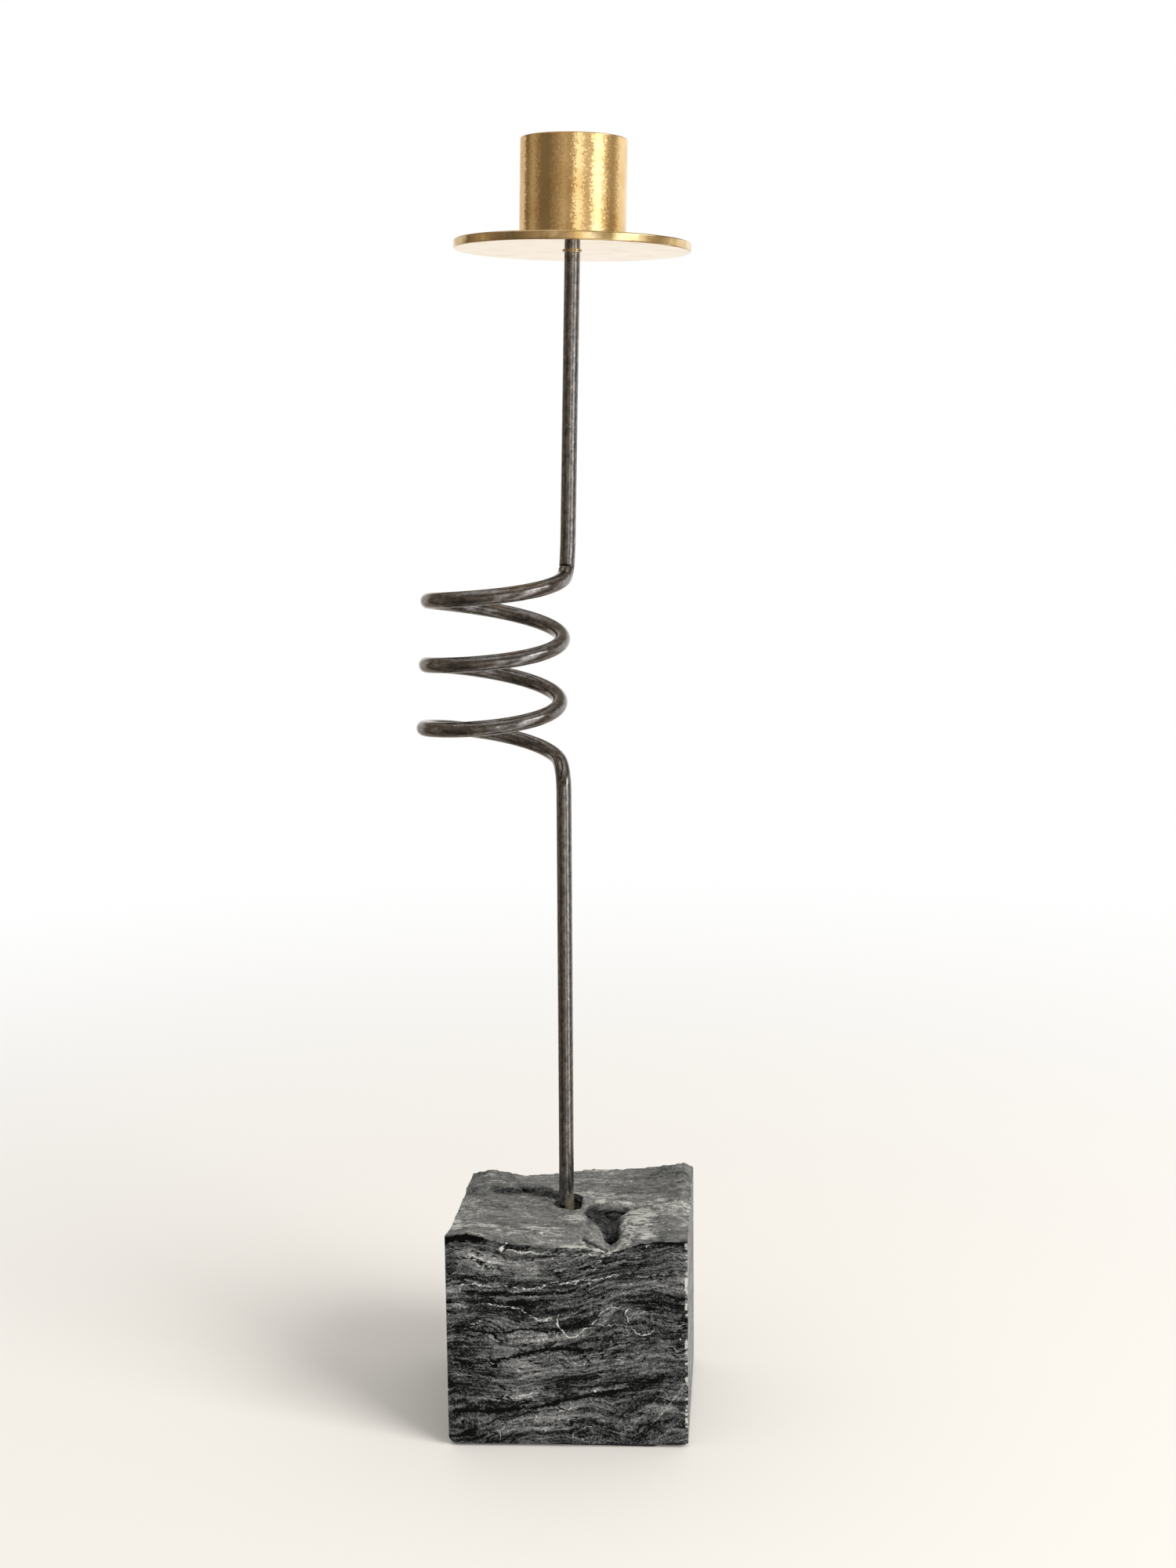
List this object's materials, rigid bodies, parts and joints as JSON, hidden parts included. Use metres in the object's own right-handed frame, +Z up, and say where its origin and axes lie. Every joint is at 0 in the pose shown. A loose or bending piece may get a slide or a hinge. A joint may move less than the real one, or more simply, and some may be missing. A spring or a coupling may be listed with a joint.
{
  "type": "candle holder",
  "caption": "Tabletop candle holder: a brass cup on a drip plate tops a blackened steel rod wound into an open spiral and set in a split stone block.",
  "frame": {"origin": "on the table under the felt pad, where the line of the lower rod meets it", "axes": "+Z up, -Y towards the viewer in front, +X to the viewer's right"},
  "size_m": [0.0724, 0.06, 0.3347],
  "materials": {
    "stone": "split on top, sawn at the sides",
    "felt": "pressed felt",
    "resin": "cured, cloudy",
    "blackened_steel": "dark mill scale, waxed",
    "brass": "turned and polished, slightly aged",
    "zinc_steel": "plain"
  },
  "bodies": {
    "root": {"stone_base": "stone", "base_pad": "felt", "rod_adhesive": "resin", "spiral_rod": "blackened_steel", "plate_ring": "brass", "drip_plate": "brass", "candle_cup": "brass", "cup_screw": "zinc_steel"}
  },
  "joints": []
}
